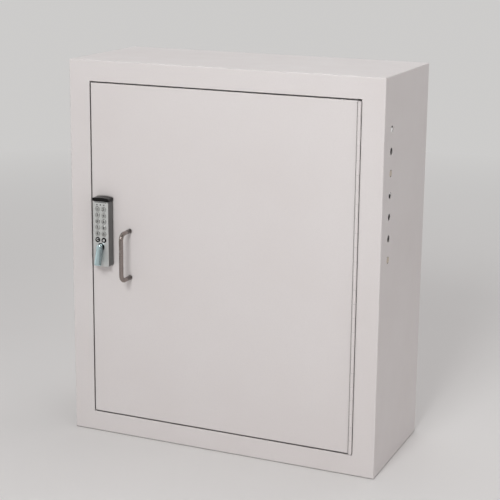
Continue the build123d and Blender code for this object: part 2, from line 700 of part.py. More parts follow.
cell_z = LOCK_SHOULDER + CAP_RISE - CAP_WALL - CELL_HEADROOM - CELL_DIAMETER / 2
cradle_radius = CELL_DIAMETER / 2 + CRADLE_FIT
spindle_bore = SPINDLE / 2 + SPINDLE_CLEARANCE

with BuildPart() as lock_base:
    add(housing_block(LOCK_GASKET, LOCK_BASE).part)
    add(housing_bore(plate_front, LOCK_BASE, LOCK_WALL).part, mode=Mode.SUBTRACT)
    # neck that the cap slides over
    with BuildSketch(standing(LOCK_GASKET + LOCK_WALL)):
        with Locations((LOCK_X, LOCK_SHOULDER + NECK_HEIGHT / 2)):
            Rectangle(neck_width, NECK_HEIGHT)
    extrude(amount=plate_front - LOCK_GASKET - LOCK_WALL)
    # screw bosses and the standoffs that carry the board
    with BuildSketch(standing(plate_front)):
        with Locations(*lock_screw_points):
            Circle(BOSS / 2)
        with Locations((LOCK_X, KEY_LOW_Z + STANDOFF_RISE)):
            with GridLocations(STANDOFF_SPACING, STANDOFF_SPACING, 2, 1):
                Circle(STANDOFF / 2)
    extrude(amount=BOARD_STAND - plate_front)
    # bearing for the spindle
    with BuildSketch(standing(plate_front)):
        with Locations((LOCK_X, KNOB_Z)):
            Circle(BEARING / 2)
    extrude(amount=BEARING_HEIGHT)
    # half ring that the cells drop into
    with BuildSketch(standing(plate_front)):
        with Locations((LOCK_X, cell_z)):
            Circle(cradle_radius + CRADLE_WALL)
            Circle(cradle_radius, mode=Mode.SUBTRACT)
        with Locations((LOCK_X, cell_z - CELL_DIAMETER)):
            Rectangle(2 * CELL_DIAMETER, 2 * CELL_DIAMETER, mode=Mode.INTERSECT)
    extrude(amount=CELL_COUNT * CELL_THICKNESS)
    # bores
    with BuildSketch(standing(LOCK_GASKET)):
        with Locations((LOCK_X, KNOB_Z)):
            Circle(spindle_bore)
    extrude(amount=LOCK_DEPTH, mode=Mode.SUBTRACT)
    with BuildSketch(standing(LOCK_GASKET)):
        with Locations(*lock_screw_points):
            Circle(SCREW_SHANK / 2)
    extrude(amount=SCREW_BITE + SCREW_END_SPACE - LOCK_GASKET, mode=Mode.SUBTRACT)
save(lock_base, "lock_base")

with BuildPart() as lock_face:
    add(housing_block(LOCK_BASE, LOCK_DEPTH, LOCK_EDGE).part)
    add(housing_bore(LOCK_BASE, cover_inside, LOCK_WALL).part, mode=Mode.SUBTRACT)
    # front half of the neck
    with BuildSketch(standing(cover_inside - CAP_WALL)):
        with Locations((LOCK_X, LOCK_SHOULDER)):
            Rectangle(neck_width, 2 * NECK_HEIGHT)
    extrude(amount=CAP_WALL)
    with BuildSketch(standing(cover_inside - CAP_WALL)):
        with Locations(*key_points):
            Circle(KEY_DIAMETER / 2 + KEY_CLEARANCE)
        with Locations(*lens_points):
            Circle(LENS_DIAMETER / 2)
        with Locations((LOCK_X, KNOB_Z)):
            Circle(SPINDLE / 2 + KEY_CLEARANCE)
    extrude(amount=LOCK_WALL + CAP_WALL, mode=Mode.SUBTRACT)
save(lock_face, "lock_face")


# ------------------------------------------------------------------ keypad lock: cap
def cap_block(inset, inner, outer):
    """Arched block of the cap between two distances from the door, drawn in by an inset."""
    half = LOCK_WIDTH / 2 + CAP_OVERHANG - inset
    side = LOCK_SHOULDER + CAP_SIDE - inset
    top = LOCK_SHOULDER + CAP_RISE - inset
    with BuildPart() as block:
        with BuildSketch(standing(inner)):
            with BuildLine():
                Polyline((LOCK_X - half, side), (LOCK_X - half, LOCK_SHOULDER),
                         (LOCK_X + half, LOCK_SHOULDER), (LOCK_X + half, side))
                ThreePointArc((LOCK_X + half, side), (LOCK_X, top), (LOCK_X - half, side))
            make_face()
        extrude(amount=outer - inner)
    return block


with BuildPart() as lock_cap:
    add(cap_block(0, LOCK_GASKET, LOCK_DEPTH + CAP_OVERHANG).part)
    cap_front = lock_cap.faces().sort_by(Axis.Y)[0].edges()
    fillet(cap_front - cap_front.sort_by(Axis.Z)[:1], LOCK_EDGE)
    add(cap_block(CAP_WALL, LOCK_GASKET + CAP_WALL, LOCK_DEPTH + CAP_OVERHANG - CAP_WALL).part,
        mode=Mode.SUBTRACT)
save(lock_cap, "lock_cap")

# ------------------------------------------------------------------ keypad lock: inside
board_low = KEY_LOW_Z - BOARD_BELOW_KEYS
board_high = LENS_Z + BOARD_ABOVE_LENS

with BuildPart() as lock_board:
    with BuildSketch(standing(BOARD_STAND)):
        with Locations((LOCK_X, (board_low + board_high) / 2)):
            Rectangle(BOARD_WIDTH, board_high - board_low)
    extrude(amount=BOARD_THICKNESS)
save(lock_board, "lock_board")

with BuildPart() as lock_cells:
    for index in range(CELL_COUNT):
        with BuildSketch(standing(plate_front + index * (CELL_THICKNESS + CELL_GAP))):
            with Locations((LOCK_X, cell_z)):
                Circle(CELL_DIAMETER / 2)
        extrude(amount=CELL_THICKNESS)
save(lock_cells, "lock_cells")

collar_back = plate_front + BEARING_HEIGHT + COLLAR_GAP
pin_end = KNOB_Z + COLLAR / 2 + SOLENOID_PIN_GAP
solenoid_low = pin_end + SOLENOID_PIN_LENGTH

with BuildPart() as lock_solenoid:
    with BuildSketch(standing(plate_front)):
        with Locations((LOCK_X, solenoid_low + SOLENOID_HEIGHT / 2)):
            Rectangle(SOLENOID_WIDTH, SOLENOID_HEIGHT)
    extrude(amount=SOLENOID_DEPTH)
    fillet(lock_solenoid.edges().filter_by(Axis.Z), SOLENOID_EDGE)
    with BuildSketch(Plane.XY.offset(solenoid_low)):
        with Locations((LOCK_X, FRONT - collar_back - COLLAR_THICKNESS / 2)):
            Circle(SOLENOID_PIN / 2)
    extrude(amount=-SOLENOID_PIN_LENGTH)
save(lock_solenoid, "lock_solenoid")

with BuildPart() as lock_lenses:
    with BuildSketch(standing(cover_inside)):
        with Locations(*lens_points):
            Circle(LENS_DIAMETER / 2)
    extrude(amount=LOCK_WALL + LENS_PROUD)
save(lock_lenses, "lock_lenses")

with BuildPart() as knob_washer:
    with BuildSketch(standing(LOCK_DEPTH)):
        with Locations((LOCK_X, KNOB_Z)):
            Circle(KNOB_WASHER / 2)
            Circle(SPINDLE / 2 + KEY_CLEARANCE, mode=Mode.SUBTRACT)
    extrude(amount=KNOB_GAP - KNOB_WASHER_CLEARANCE)
save(knob_washer, "knob_washer")

# ------------------------------------------------------------------ keys
key_seat = cover_inside - KEY_FLANGE_GAP       # front of the key's flange, behind the cover
board_front = BOARD_STAND + BOARD_THICKNESS
stem_length = key_seat - KEY_FLANGE_THICKNESS - board_front - KEY_TRAVEL - KEY_STEM_CLEARANCE


def key(point):
    """One key: a crowned button, the flange that keeps it in and the stem that closes its switch."""
    with BuildPart() as button:
        with BuildSketch(standing(key_seat)):
            with Locations(point):
                Circle(KEY_DIAMETER / 2)
        extrude(amount=LOCK_DEPTH + KEY_PROUD - key_seat)
        fillet(button.faces().sort_by(Axis.Y)[0].edges(), KEY_EDGE)
        with BuildSketch(standing(key_seat)):
            with Locations(point):
                Circle(KEY_FLANGE / 2)
        extrude(amount=-KEY_FLANGE_THICKNESS)
        with BuildSketch(standing(key_seat - KEY_FLANGE_THICKNESS)):
            with Locations(point):
                Circle(KEY_STEM / 2)
        extrude(amount=-stem_length)
    return button


for index, point in enumerate(key_points):
    save(key(point), f"key_{index + 1}")

# ------------------------------------------------------------------ knob
head_stand = LOCK_DEPTH + KNOB_GAP
head_front = head_stand + KNOB_HEAD_HEIGHT
lever_mid_z = (KNOB_Z + KNOB_TIP_Z) / 2

with BuildPart() as lock_knob:
    # side view: the grip leaves the face below the pivot and sweeps out to the tip
    with BuildSketch(Plane.YZ.offset(LOCK_X - KNOB_TIP_WIDTH)):
        with BuildLine():
            Polyline(
                (FRONT - KNOB_TIP_STAND, KNOB_TIP_Z),
                (FRONT - KNOB_TIP_STAND + KNOB_TIP_THICKNESS, KNOB_TIP_Z),
            )
            ThreePointArc(
                (FRONT - KNOB_TIP_STAND + KNOB_TIP_THICKNESS, KNOB_TIP_Z),
                (FRONT - head_stand - KNOB_FINGER_HOLLOW, lever_mid_z - KNOB_FINGER_HOLLOW),
                (FRONT - head_stand, KNOB_Z - KNOB_HEAD),
            )
            Polyline(
                (FRONT - head_stand, KNOB_Z - KNOB_HEAD),
                (FRONT - head_stand, KNOB_Z + KNOB_HEAD),
                (FRONT - head_front, KNOB_Z + KNOB_HEAD),
            )
            ThreePointArc(
                (FRONT - head_front, KNOB_Z + KNOB_HEAD),
                (FRONT - head_front - KNOB_FRONT_SWELL, lever_mid_z),
                (FRONT - KNOB_TIP_STAND, KNOB_TIP_Z),
            )
        make_face()
    extrude(amount=2 * KNOB_TIP_WIDTH)
    # front view: round over the pivot, a little wider at the tip
    with BuildSketch(standing(LOCK_DEPTH)) as knob_outline:
        with BuildLine():
            Polyline(
                (LOCK_X + KNOB_HEAD, KNOB_Z),
                (LOCK_X + KNOB_TIP_WIDTH / 2, KNOB_TIP_Z),
                (LOCK_X - KNOB_TIP_WIDTH / 2, KNOB_TIP_Z),
                (LOCK_X - KNOB_HEAD, KNOB_Z),
            )
            ThreePointArc((LOCK_X - KNOB_HEAD, KNOB_Z), (LOCK_X, KNOB_Z + KNOB_HEAD),
                          (LOCK_X + KNOB_HEAD, KNOB_Z))
        make_face()
        fillet(knob_outline.vertices().group_by(Axis.Z)[0], KNOB_TIP_CORNER)
    extrude(amount=KNOB_TIP_STAND, mode=Mode.INTERSECT)
    fillet(lock_knob.edges(), KNOB_EDGE)
    with BuildSketch(standing(head_stand)):
        with Locations((LOCK_X, KNOB_Z)):
            Circle(SPINDLE / 2)
    extrude(amount=KNOB_SOCKET, mode=Mode.SUBTRACT)
save(lock_knob, "lock_knob")

# ------------------------------------------------------------------ spindle
cam_front = STOP_BACK + CAM_CLEARANCE
cam_back = cam_front + CAM_THICKNESS

with BuildPart() as lock_spindle:
    with BuildSketch(facing(cam_front)):
        with Locations((LOCK_X, KNOB_Z)):
            Circle(SPINDLE / 2)
    extrude(amount=cam_front - FRONT + head_stand + KNOB_SOCKET)
    with BuildSketch(facing(cam_back)):
        with Locations((LOCK_X, KNOB_Z)):
            Rectangle(SPINDLE_SQUARE, SPINDLE_SQUARE)
    extrude(amount=CAM_THICKNESS)
    # collar with two notches, one for each position that the solenoid's pin can hold
    with BuildSketch(standing(collar_back)):
        with Locations((LOCK_X, KNOB_Z)):
            Circle(COLLAR / 2)
        with Locations((LOCK_X, KNOB_Z + COLLAR / 2), (LOCK_X + COLLAR / 2, KNOB_Z)):
            Rectangle(COLLAR_NOTCH, COLLAR_NOTCH, mode=Mode.SUBTRACT)
    extrude(amount=COLLAR_THICKNESS)
    with BuildSketch(facing(cam_back)):
        with Locations((LOCK_X, KNOB_Z)):
            Circle(SCREW_SHANK / 2)
    extrude(amount=SCREW_BITE, mode=Mode.SUBTRACT)
save(lock_spindle, "lock_spindle")

# ------------------------------------------------------------------ cam
with BuildPart() as lock_cam:
    with BuildSketch(facing(cam_back)):
        with Locations((LOCK_X, KNOB_Z)):
            Circle(CAM_HUB)
        with BuildLine():
            Polyline(
                (LOCK_X - CAM_HUB, KNOB_Z),
                (LOCK_X - CAM_WIDTH / 2, KNOB_Z - CAM_REACH + CAM_WIDTH / 2),
            )
            ThreePointArc(
                (LOCK_X - CAM_WIDTH / 2, KNOB_Z - CAM_REACH + CAM_WIDTH / 2),
                (LOCK_X, KNOB_Z - CAM_REACH),
                (LOCK_X + CAM_WIDTH / 2, KNOB_Z - CAM_REACH + CAM_WIDTH / 2),
            )
            Polyline(
                (LOCK_X + CAM_WIDTH / 2, KNOB_Z - CAM_REACH + CAM_WIDTH / 2),
                (LOCK_X + CAM_HUB, KNOB_Z),
                (LOCK_X - CAM_HUB, KNOB_Z),
            )
        make_face()
        with Locations((LOCK_X, KNOB_Z)):
            Rectangle(SPINDLE_SQUARE, SPINDLE_SQUARE, mode=Mode.SUBTRACT)
    extrude(amount=CAM_THICKNESS)
save(lock_cam, "lock_cam")

with BuildPart() as cam_screw:
    with BuildSketch(facing(cam_back)):
        with Locations((LOCK_X, KNOB_Z)):
            Circle(SCREW_SHANK / 2)
    extrude(amount=SCREW_BITE - SCREW_END_SPACE)
    with BuildSketch(facing(cam_back)):
        with Locations((LOCK_X, KNOB_Z)):
            Circle(CAM_SCREW_HEAD / 2)
    extrude(amount=-SCREW_HEAD_HEIGHT)
    fillet(cam_screw.faces().sort_by(Axis.Y)[-1].edges(), SCREW_HEAD_EDGE)
save(cam_screw, "cam_screw")
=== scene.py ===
"""Looks of the lockable medicine cabinet: finishes, key legends, turned and swept detail, studio and camera.

Metres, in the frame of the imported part: +Z is up, the door faces -Y and +X is the viewer's right.
Lengths of pieces are written in millimetres and turned into metres where a mesh is made.
"""
import json
import math

import bmesh
import bpy
from mathutils import Matrix, Vector


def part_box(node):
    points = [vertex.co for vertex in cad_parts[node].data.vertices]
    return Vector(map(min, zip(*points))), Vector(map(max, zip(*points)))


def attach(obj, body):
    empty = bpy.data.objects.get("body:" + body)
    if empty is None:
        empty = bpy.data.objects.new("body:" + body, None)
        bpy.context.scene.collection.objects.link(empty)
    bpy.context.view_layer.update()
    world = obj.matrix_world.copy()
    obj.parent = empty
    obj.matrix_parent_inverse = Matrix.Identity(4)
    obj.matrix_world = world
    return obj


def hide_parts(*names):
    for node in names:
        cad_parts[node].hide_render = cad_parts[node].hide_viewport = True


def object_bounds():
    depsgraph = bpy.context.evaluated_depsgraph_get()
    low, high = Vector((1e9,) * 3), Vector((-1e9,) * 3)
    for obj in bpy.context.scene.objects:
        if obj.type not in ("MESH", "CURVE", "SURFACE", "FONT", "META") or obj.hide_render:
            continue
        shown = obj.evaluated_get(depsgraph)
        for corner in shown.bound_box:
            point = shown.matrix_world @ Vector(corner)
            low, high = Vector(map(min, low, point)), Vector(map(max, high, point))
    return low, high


MM = 0.001

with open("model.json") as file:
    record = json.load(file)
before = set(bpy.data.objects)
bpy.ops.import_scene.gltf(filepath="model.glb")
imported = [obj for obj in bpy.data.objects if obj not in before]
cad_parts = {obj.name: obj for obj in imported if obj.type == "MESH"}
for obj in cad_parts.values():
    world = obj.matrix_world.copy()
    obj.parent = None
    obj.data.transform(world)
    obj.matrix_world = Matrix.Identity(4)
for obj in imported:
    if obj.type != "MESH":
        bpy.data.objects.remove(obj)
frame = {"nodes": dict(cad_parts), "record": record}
cad_low, cad_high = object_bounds()
nodes = frame["nodes"]

# ------------------------------------------------------------------ sizes of the pieces, millimetres
LINE_HALF = 0.6             # half the height of the painted shadow line across the lock's cover
LINE_BELOW_CAP = 1.9
LINE_INSET = 4.2            # cover's side to the line's square end, before its point
LINE_LEVELS = (-0.02, 0.3)  # the line's front and rear, behind the cover's front
KEY_COUNT = 12
KEY_BUTTON = 4.7            # radius
KEY_FLANGE = 5.6            # radius
KEY_FLANGE_SEAT = 4.2       # button's front to the flange's rear
KEY_FLANGE_THICK = 0.8
KEY_STEM = 2.0              # radius
KEY_EDGE = 0.55             # rounding of the button's front edge
KEY_BEND = 0.08             # rounding of its other edges
KEY_DISH = 0.24             # depth of the dished face
KEY_DISH_PROFILE = ((3.75, 0.02), (3.35, 0.6 * KEY_DISH), (2.9, KEY_DISH), (0, KEY_DISH))   # radius, depth
LEGEND_TEXT = "1234567890C#"
LEGEND_SIZE = 6.44          # of the font
LEGEND_BOLDER = 0.16        # added round each stroke
LEGEND_THICK = 0.01
LEGEND_STAND = 0.02         # legend's middle before the floor of the dish
KNOB_SQUARENESS = 3.2       # 2 is an ellipse, more is closer to a rectangle
KNOB_TOP = (0, 6.3, 22.7)
KNOB_TIP = (0, -32.85, 31.1)
KNOB_LEVELS = (             # height over the spindle's axis, half width, rear and front before the door
    (6.25, 1.1, 19.6, 25.8), (5.9, 2.2, 18.9, 26.5), (5.0, 3.8, 18.5, 27.0), (3.4, 5.3, 18.4, 27.3),
    (1.2, 6.2, 18.4, 27.6), (-2.0, 6.3, 18.4, 28.0), (-6.3, 6.4, 18.6, 28.6), (-11.0, 6.6, 20.6, 29.4),
    (-16.0, 6.8, 23.0, 30.3), (-21.0, 7.0, 25.2, 31.4), (-26.0, 7.2, 26.9, 32.5), (-30.0, 7.3, 27.9, 33.3),
    (-31.9, 7.1, 28.3, 33.6), (-32.7, 6.3, 29.0, 33.2),
)
HANDLE_ROD = 8.0            # diameter
HANDLE_BEND = 12.0          # radius of a bend's middle line
HANDLE_FOOT_GAP = 0.02      # bar's end to the door
HANDLE_SIDES = 40
BEND_STEPS = 12
SCREW_HEAD = (4.0, 2.6)     # radius, height
SCREW_CROWN = ((0, 1.5), (0.25, 0.8), (0.9, 0.25), (1.7, 0))    # in from the head's rim, down from its top
SCREW_SHANK = 2.0           # radius
SCREW_POINT = (0.4, 0.6)    # chamfer of the shank's end: inward, along
RECESS_ARM = (0.55, 2.1)    # cross recess: half width of an arm, reach
RECESS_DEPTH = 1.4
RECESS_TAPER = 0.8          # the recess at its depth beside the recess at its mouth
RECESS_POINT = 0.4          # further down to its deepest point
WASHER = 6.0                # radius
WELD_PROFILE = ((0, 0.03), (1.5, 0.03), (2.0, 0.32), (2.4, 0.28), (2.7, -0.15), (0, -0.3))    # radius, height
WELD_PITCH = 76.0
WELD_INSET = 5.5            # edge of the stiffener's flange to the welds
STIFFENER_SHEET = 1.2       # thickness
SKIN_MERGE = 0.03           # corners of two walls closer than this become one

# ------------------------------------------------------------------ other settings
MITRE_LEAN = 0.3            # parts of a normal above and below which a face counts as a mitre
CASE_SHARP = 35             # degrees between faces that stay sharp
SCREW_SHARP = 40
MIX_FIRST, MIX_SECOND, MIX_RESULT = 6, 7, 2     # colour sockets of Blender's Mix node

# ------------------------------------------------------------------ finishes
PAINT = (0.700, 0.666, 0.660)
SILVER = (0.680, 0.686, 0.676)
DARKENED_STAINLESS = (0.330, 0.285, 0.265)
# stainless darkened as a painted reflection of a dark room
ZINC = (0.640, 0.645, 0.630)
KEY_PLATE = (0.560, 0.570, 0.555)
# chrome tinted aqua: a painted reflection of something cyan
KNOB_PLATE_AQUA_REFLECTION = (0.600, 0.760, 0.790)
NYLON = (0.600, 0.520, 0.430)
BLACK = (0.003, 0.0025, 0.0025)
INK = (0.030, 0.031, 0.030)
WHITE_INK = (0.700, 0.700, 0.690)


class Surface:
    """A material in the making: its shader, and the few node patterns that the finishes share."""

    def __init__(self, name, colour, metallic=0.0, roughness=0.5):
        self.material = bpy.data.materials.new(name)
        self.material.use_nodes = True
        self.tree = self.material.node_tree
        self.shader = self.tree.nodes["Principled BSDF"]
        self.shader.inputs["Metallic"].default_value = metallic
        self.shader.inputs["Roughness"].default_value = roughness
        self.shader.inputs["Base Color"].default_value = (*colour, 1.0)
        self.colour = None
        self.plain = colour
        self.normal = None
        self.coordinates = self.node("ShaderNodeTexCoord")
        self.place = self.coordinates.outputs["Object"]

    def node(self, kind, **settings):
        made = self.tree.nodes.new(kind)
        for key, value in settings.items():
            setattr(made, key, value)
        return made

    def link(self, source, target):
        self.tree.links.new(source, target)

    def noise(self, size, detail=2.0, stretch=(1.0, 1.0, 1.0)):
        """Cloudy pattern whose grain is about size metres, drawn out along an axis by stretch."""
        mapping = self.node("ShaderNodeMapping")
        mapping.inputs["Scale"].default_value = [1.0 / (size * s) for s in stretch]
        texture = self.node("ShaderNodeTexNoise")
        texture.inputs["Scale"].default_value = 1.0
        texture.inputs["Detail"].default_value = detail
        self.link(self.place, mapping.inputs["Vector"])
        self.link(mapping.outputs["Vector"], texture.inputs["Vector"])
        return texture.outputs["Fac"]

    def cells(self, size):
        """Crystals about size metres across, each with its own level from 0 to 1."""
        texture = self.node("ShaderNodeTexVoronoi")
        texture.inputs["Scale"].default_value = 1.0 / size
        self.link(self.place, texture.inputs["Vector"])
        split = self.node("ShaderNodeSeparateColor")
        self.link(texture.outputs["Color"], split.inputs["Color"])
        return split.outputs["Red"]

    def remap(self, value, low, high, to_low=0.0, to_high=1.0):
        ranged = self.node("ShaderNodeMapRange")
        limits = {"From Min": low, "From Max": high, "To Min": to_low, "To Max": to_high}
        for socket, number in limits.items():
            ranged.inputs[socket].default_value = number
        self.link(value, ranged.inputs["Value"])
        return ranged.outputs["Result"]

    def edges(self, radius):
        """1 along sharp or tightly rounded edges, 0 on flats."""
        bevel = self.node("ShaderNodeBevel", samples=6)
        bevel.inputs["Radius"].default_value = radius
        plain = self.node("ShaderNodeNewGeometry")
        dot = self.node("ShaderNodeVectorMath", operation="DOT_PRODUCT")
        self.link(bevel.outputs["Normal"], dot.inputs[0])
        self.link(plain.outputs["Normal"], dot.inputs[1])
        return self.remap(dot.outputs["Value"], 0.998, 0.93)

    def flanks(self):
        """1 on faces that look to the piece's own left or right, 0 on the others: the mask for painted shade
        on flanks.
        """
        split = self.node("ShaderNodeSeparateXYZ")
        self.link(self.coordinates.outputs["Normal"], split.inputs[0])
        sideways = self.node("ShaderNodeMath", operation="ABSOLUTE")
        self.link(split.outputs["X"], sideways.inputs[0])
        return self.remap(sideways.outputs[0], 0.55, 0.9)

    def crevice_shade(self, distance, full=0.25):
        """Mask for painted shade: 1 deep in corners and gaps, where the openness is full or less, 0 in the
        open.
        """
        occlusion = self.node("ShaderNodeAmbientOcclusion", samples=8)
        occlusion.inputs["Distance"].default_value = distance
        return self.remap(occlusion.outputs["AO"], 0.85, full)

    def tint(self, mask, colour, share=1.0):
        """Moves the base colour towards another where the mask is high."""
        mix = self.node("ShaderNodeMix", data_type="RGBA")
        if self.colour is None:
            mix.inputs[MIX_FIRST].default_value = (*self.plain, 1.0)
        else:
            self.link(self.colour, mix.inputs[MIX_FIRST])
        mix.inputs[MIX_SECOND].default_value = (*colour, 1.0)
        self.link(self.remap(mask, 0.0, 1.0, 0.0, share), mix.inputs["Factor"])
        self.colour = mix.outputs[MIX_RESULT]
        self.link(self.colour, self.shader.inputs["Base Color"])

    def polish(self, mask, low, high):
        """Roughness from low to high as the mask rises."""
        self.link(self.remap(mask, 0.3, 0.7, low, high), self.shader.inputs["Roughness"])

    def bump(self, height, depth):
        """Relief of a given depth in metres, added to any relief before it."""
        relief = self.node("ShaderNodeBump")
        relief.inputs["Distance"].default_value = depth
        self.link(height, relief.inputs["Height"])
        if self.normal is not None:
            self.link(self.normal, relief.inputs["Normal"])
        self.normal = relief.outputs["Normal"]
        self.link(self.normal, self.shader.inputs["Normal"])


def shade(colour, factor):
    """The same colour, lighter or darker."""
    return tuple(channel * factor for channel in colour)


def painted_steel():
    """Satin powder coat: orange peel, faint clouds, a painted highlight on edges, painted shade in corners
    and darker painted shade in the narrowest gaps.
    """
    paint = Surface("painted_steel", PAINT, roughness=0.42)
    paint.tint(paint.remap(paint.noise(0.16, 3.0), 0.35, 0.7), (0.665, 0.622, 0.612), 0.55)
    paint.tint(paint.remap(paint.noise(0.0011, 2.0), 0.45, 0.7), shade(PAINT, 0.93), 0.5)
    # painted highlight: lighter along the edges
    paint.tint(paint.edges(0.0016), (0.76, 0.735, 0.725), 0.6)
    # painted shade: darker in corners, darkest in the narrowest gaps
    paint.tint(paint.crevice_shade(0.006), (0.30, 0.28, 0.268), 0.55)
    paint.tint(paint.crevice_shade(0.003, 0.5), (0.13, 0.12, 0.115), 0.8)
    paint.polish(paint.noise(0.05, 4.0), 0.37, 0.47)
    paint.bump(paint.noise(0.0014, 2.0), 0.00003)
    paint.bump(paint.noise(0.09, 1.0), 0.00045)
    return paint.material


def silver_lacquer():
    """Metallic lacquer on the lock's castings: fine flake, lighter edges that are partly rubbed wear and
    partly a painted highlight, painted shade and dark reflection on the flanks, painted shade in corners.
    """
    silver = Surface("lock_silver", SILVER, metallic=0.55, roughness=0.40)
    silver.tint(silver.remap(silver.noise(0.0005, 2.0), 0.4, 0.65), shade(SILVER, 0.78), 0.8)
    silver.tint(silver.remap(silver.noise(0.02, 3.0), 0.4, 0.7), shade(SILVER, 0.88), 0.6)
    # lighter edges: partly rubbed wear, partly a painted highlight
    silver.tint(silver.edges(0.0006), (0.74, 0.74, 0.73), 0.7)
    # painted shade and painted dark reflection on the left and right flanks
    silver.tint(silver.flanks(), shade(SILVER, 0.16), 0.92)
    # painted shade in corners and gaps
    silver.tint(silver.crevice_shade(0.003), (0.06, 0.06, 0.06), 0.7)
    silver.polish(silver.noise(0.004, 3.0), 0.34, 0.46)
    silver.bump(silver.noise(0.0006, 2.0), 0.00002)
    return silver.material


def satin_stainless():
    """Bar stock with a grain along the bar, finger-dulled here and there; its base colour is darkened as a
    painted reflection of a dark room.
    """
    steel = Surface("handle_stainless", DARKENED_STAINLESS, metallic=1.0, roughness=0.24)
    steel.tint(steel.remap(steel.noise(0.0006, 3.0, (1, 1, 40)), 0.35, 0.7), shade(DARKENED_STAINLESS, 0.80), 0.7)
    steel.tint(steel.remap(steel.noise(0.03, 3.0), 0.5, 0.75), shade(DARKENED_STAINLESS, 0.86), 0.6)
    steel.polish(steel.noise(0.02, 4.0), 0.17, 0.30)
    steel.bump(steel.noise(0.0005, 2.0, (1, 1, 60)), 0.000012)
    return steel.material


def zinc_plate():
    """Zinc plating: small crystals and a faint straw passivation; painted shade in corners."""
    zinc = Surface("zinc_steel", ZINC, metallic=1.0, roughness=0.36)
    zinc.tint(zinc.cells(0.0008), shade(ZINC, 0.86), 0.6)
    zinc.tint(zinc.remap(zinc.noise(0.01, 3.0), 0.45, 0.75), (0.60, 0.56, 0.46), 0.45)
    # painted shade in corners and gaps
    zinc.tint(zinc.crevice_shade(0.002), (0.12, 0.11, 0.10), 0.6)
    zinc.polish(zinc.cells(0.0012), 0.30, 0.44)
    zinc.bump(zinc.noise(0.0004, 2.0), 0.00001)
    return zinc.material


def plated(name, colour, rough_low, rough_high, flank_shade=0.0):
    """Bright plating with faint clouds, painted shade in corners and, where flank_shade is given, painted
    shade on the flanks.
    """
    plate = Surface(name, colour, metallic=1.0, roughness=rough_low)
    plate.tint(plate.remap(plate.noise(0.006, 3.0), 0.45, 0.75), shade(colour, 0.82), 0.5)
    # painted shade on the flanks
    plate.tint(plate.flanks(), shade(colour, 0.25), flank_shade)
    # painted shade in corners
    plate.tint(plate.crevice_shade(0.0015), (0.03, 0.03, 0.03), 0.7)
    plate.polish(plate.noise(0.003, 3.0), rough_low, rough_high)
    plate.bump(plate.noise(0.0008, 2.0), 0.000006)
    return plate.material


def moulding(name, colour, roughness, grain=0.0005, relief=0.00002):
    """Moulded plastic or rubber: spark-eroded grain, paler edges that are partly rubbed wear and partly a
    painted highlight.
    """
    plastic = Surface(name, colour, roughness=roughness)
    plastic.tint(plastic.remap(plastic.noise(0.008, 3.0), 0.4, 0.7), shade(colour, 0.8), 0.5)
    # paler edges: partly rubbed wear, partly a painted highlight
    pale = tuple(channel * 1.15 + 0.012 for channel in colour)
    plastic.tint(plastic.edges(0.0005), pale, 0.6)
    plastic.polish(plastic.noise(0.002, 2.0), roughness - 0.06, roughness + 0.06)
    plastic.bump(plastic.noise(grain, 2.0), relief)
    plastic.shader.inputs["Specular IOR Level"].default_value = 0.25
    return plastic.material


def circuit_board():
    """Green laminate with tinned pads."""
    board = Surface("circuit_board", (0.015, 0.11, 0.05), roughness=0.35)
    board.tint(board.remap(board.noise(0.002, 1.0, (1, 1, 8)), 0.52, 0.55), (0.03, 0.19, 0.08), 0.9)
    board.tint(board.remap(board.cells(0.003), 0.86, 0.88), (0.6, 0.58, 0.52), 0.9)
    board.bump(board.noise(0.002, 1.0), 0.00004)
    return board.material


def cell_steel():
    """Nickel can with fine turned marks and light scratches."""
    can = Surface("cell_steel", (0.68, 0.67, 0.64), metallic=1.0, roughness=0.25)
    can.tint(can.remap(can.noise(0.001, 4.0, (20, 1, 1)), 0.5, 0.7), (0.52, 0.51, 0.49), 0.6)
    can.polish(can.noise(0.003, 3.0), 0.2, 0.35)
    return can.material


FINISHES = {
    "painted_steel": painted_steel(),
    "lock_silver": silver_lacquer(),
    "handle_stainless": satin_stainless(),
    "zinc_steel": zinc_plate(),
    "key_chrome": plated("key_chrome", KEY_PLATE, 0.20, 0.32),
    "knob_chrome": plated("knob_chrome", KNOB_PLATE_AQUA_REFLECTION, 0.10, 0.20, 0.85),
    "key_black": moulding("key_black", BLACK, 0.26, relief=0.000005),
    "cap_black": moulding("cap_black", BLACK, 0.24, relief=0.000006),
    "peg_nylon": moulding("peg_nylon", NYLON, 0.48),
    "black_rubber": moulding("black_rubber", (0.022, 0.021, 0.020), 0.75, relief=0.00004),
    "lens": moulding("lens", (0.035, 0.036, 0.036), 0.12, relief=0.000004),
    "circuit_board": circuit_board(),
    "cell_steel": cell_steel(),
}
LEGENDS = {
    "key_chrome": moulding("legend_dark", INK, 0.45, relief=0.000004),
    "key_black": moulding("legend_white", WHITE_INK, 0.50, relief=0.000004),
}

slot_of = {row["node"]: row["material_slot"] for row in frame["record"]["subparts"]}
body_of = {name: body for body, names in frame["record"]["behaviour"]["bodies"].items() for name in names}

for name, shown in nodes.items():
    shown.data.materials.clear()
    shown.data.materials.append(FINISHES[slot_of[name]])


# ------------------------------------------------------------------ how pieces are made
def piece(name, mesh, node, smooth=True, finish=None, stands_for=()):
    """Puts a bmesh in the scene on the body of a CAD node, in that node's finish."""
    data = bpy.data.meshes.new(name)
    bmesh.ops.recalc_face_normals(mesh, faces=mesh.faces)
    mesh.to_mesh(data)
    mesh.free()
    data.polygons.foreach_set("use_smooth", [smooth] * len(data.polygons))
    made = bpy.data.objects.new(name, data)
    bpy.context.scene.collection.objects.link(made)
    data.materials.append(finish or FINISHES[slot_of[node]])
    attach(made, body_of[node])
    if stands_for:
        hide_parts(*stands_for)
    return made


